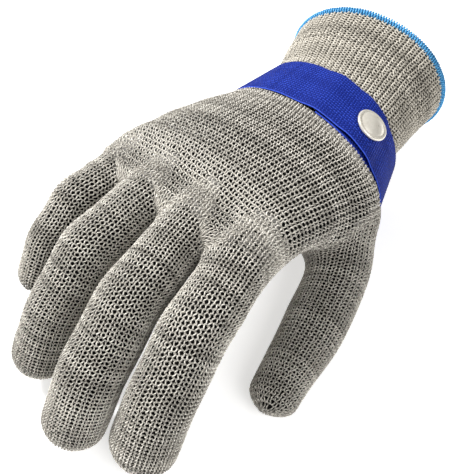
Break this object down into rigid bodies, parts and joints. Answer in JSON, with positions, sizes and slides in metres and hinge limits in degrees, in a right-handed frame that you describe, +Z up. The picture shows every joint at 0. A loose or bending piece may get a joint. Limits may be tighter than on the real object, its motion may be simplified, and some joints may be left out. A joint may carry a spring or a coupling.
{
  "type": "knitted steel-yarn cut-resistant glove",
  "caption": "Knitted steel-yarn cut glove for a right hand, with curved fingers, a ribbed flared cuff, an overlocked hem and a webbing wrist strap closed by a snap.",
  "frame": {"origin": "under the middle of the whole glove, on the surface it stands on", "axes": "+Y from the fingertips to the open cuff, +X to the thumb side, +Z up out of the back of the hand"},
  "size_m": [0.1098, 0.2146, 0.064],
  "materials": {
    "steel_knit": "plain knit of grey-beige yarn round steel wire, slightly glossy",
    "rib_knit": "soft ribbed knit",
    "hem_yarn": "overlocked light blue yarn",
    "strap_webbing": "tightly woven royal blue webbing",
    "strap_thread": "stitched blue thread",
    "snap_metal": "satin"
  },
  "bodies": {
    "palm": {"palm_shell": "steel_knit", "wrist_strap": "strap_webbing", "snap_stud": "snap_metal", "snap_eyelet": "snap_metal", "strap_tack_little_side": "strap_thread", "strap_tack_thumb_side": "strap_thread"},
    "cuff": {"cuff": "rib_knit", "cuff_hem": "hem_yarn"},
    "flap": {"strap_flap": "strap_webbing", "snap_cap": "snap_metal", "snap_socket": "snap_metal"},
    "index_proximal": {"index_proximal": "steel_knit"},
    "index_middle": {"index_middle": "steel_knit"},
    "index_distal": {"index_distal": "steel_knit"},
    "middle_proximal": {"middle_proximal": "steel_knit"},
    "middle_middle": {"middle_middle": "steel_knit"},
    "middle_distal": {"middle_distal": "steel_knit"},
    "ring_proximal": {"ring_proximal": "steel_knit"},
    "ring_middle": {"ring_middle": "steel_knit"},
    "ring_distal": {"ring_distal": "steel_knit"},
    "little_proximal": {"little_proximal": "steel_knit"},
    "little_middle": {"little_middle": "steel_knit"},
    "little_distal": {"little_distal": "steel_knit"},
    "thumb_proximal": {"thumb_proximal": "steel_knit"},
    "thumb_distal": {"thumb_distal": "steel_knit"}
  },
  "joints": [
    {"name": "index_root_bend", "type": "hinge", "parent": "palm", "child": "index_proximal", "pos_m": [0.02314, -0.04816, 0.04683], "axis": [0.9832, 0.0774, -0.165], "range_deg": [-25, 38]},
    {"name": "index_middle_bend", "type": "hinge", "parent": "index_proximal", "child": "index_middle", "pos_m": [0.02401, -0.067, 0.04322], "axis": [0.9832, 0.0774, -0.165], "range_deg": [-28, 40]},
    {"name": "index_tip_bend", "type": "hinge", "parent": "index_middle", "child": "index_distal", "pos_m": [0.02237, -0.08389, 0.02554], "axis": [0.9832, 0.0774, -0.165], "range_deg": [-19, 27]},
    {"name": "middle_root_bend", "type": "hinge", "parent": "palm", "child": "middle_proximal", "pos_m": [0.00164, -0.04596, 0.04903], "axis": [0.9914, 0, -0.1305], "range_deg": [-25, 28]},
    {"name": "middle_middle_bend", "type": "hinge", "parent": "middle_proximal", "child": "middle_middle", "pos_m": [0.00104, -0.0683, 0.04452], "axis": [0.9914, 0, -0.1305], "range_deg": [-28, 28]},
    {"name": "middle_tip_bend", "type": "hinge", "parent": "middle_middle", "child": "middle_distal", "pos_m": [-0.00152, -0.08827, 0.02506], "axis": [0.9914, 0, -0.1305], "range_deg": [-19, 19]},
    {"name": "ring_root_bend", "type": "hinge", "parent": "palm", "child": "ring_proximal", "pos_m": [-0.01936, -0.04066, 0.04903], "axis": [0.9839, -0.1558, -0.0872], "range_deg": [-25, 38]},
    {"name": "ring_middle_bend", "type": "hinge", "parent": "ring_proximal", "child": "ring_middle", "pos_m": [-0.02261, -0.05929, 0.04571], "axis": [0.9839, -0.1558, -0.0872], "range_deg": [-28, 40]},
    {"name": "ring_tip_bend", "type": "hinge", "parent": "ring_middle", "child": "ring_distal", "pos_m": [-0.02704, -0.07687, 0.02707], "axis": [0.9839, -0.1558, -0.0872], "range_deg": [-19, 27]},
    {"name": "little_root_bend", "type": "hinge", "parent": "palm", "child": "little_proximal", "pos_m": [-0.03716, -0.03326, 0.04823], "axis": [0.9623, -0.2669, -0.0523], "range_deg": [-25, 38]},
    {"name": "little_middle_bend", "type": "hinge", "parent": "little_proximal", "child": "little_middle", "pos_m": [-0.0404, -0.0448, 0.0476], "axis": [0.9623, -0.2669, -0.0523], "range_deg": [-28, 40]},
    {"name": "little_tip_bend", "type": "hinge", "parent": "little_middle", "child": "little_distal", "pos_m": [-0.04465, -0.05762, 0.03481], "axis": [0.9623, -0.2669, -0.0523], "range_deg": [-19, 27]},
    {"name": "thumb_root_bend", "type": "hinge", "parent": "palm", "child": "thumb_proximal", "pos_m": [0.04004, -0.00136, 0.01893], "axis": [0.4553, -0.1787, 0.8722], "range_deg": [-24, 25]},
    {"name": "thumb_tip_bend", "type": "hinge", "parent": "thumb_proximal", "child": "thumb_distal", "pos_m": [0.04324, -0.02396, 0.01263], "axis": [0.4393, -0.1313, 0.8887], "range_deg": [-36, 15]},
    {"name": "cuff_bend", "type": "hinge", "parent": "palm", "child": "cuff", "pos_m": [-0.00056, 0.06364, 0.02813], "axis": [0.9781, -0.2079, 0], "range_deg": [-10, 10]},
    {"name": "strap_flap_peel", "type": "hinge", "parent": "palm", "child": "flap", "pos_m": [-0.00812, 0.05128, 0.05481], "axis": [-0.0535, -0.9985, -0.007], "range_deg": [0, 80]}
  ],
  "couplings": [
    {"joint": "index_tip_bend", "follows": "index_middle_bend", "ratio": 0.67},
    {"joint": "middle_tip_bend", "follows": "middle_middle_bend", "ratio": 0.67},
    {"joint": "ring_tip_bend", "follows": "ring_middle_bend", "ratio": 0.67},
    {"joint": "little_tip_bend", "follows": "little_middle_bend", "ratio": 0.67}
  ]
}
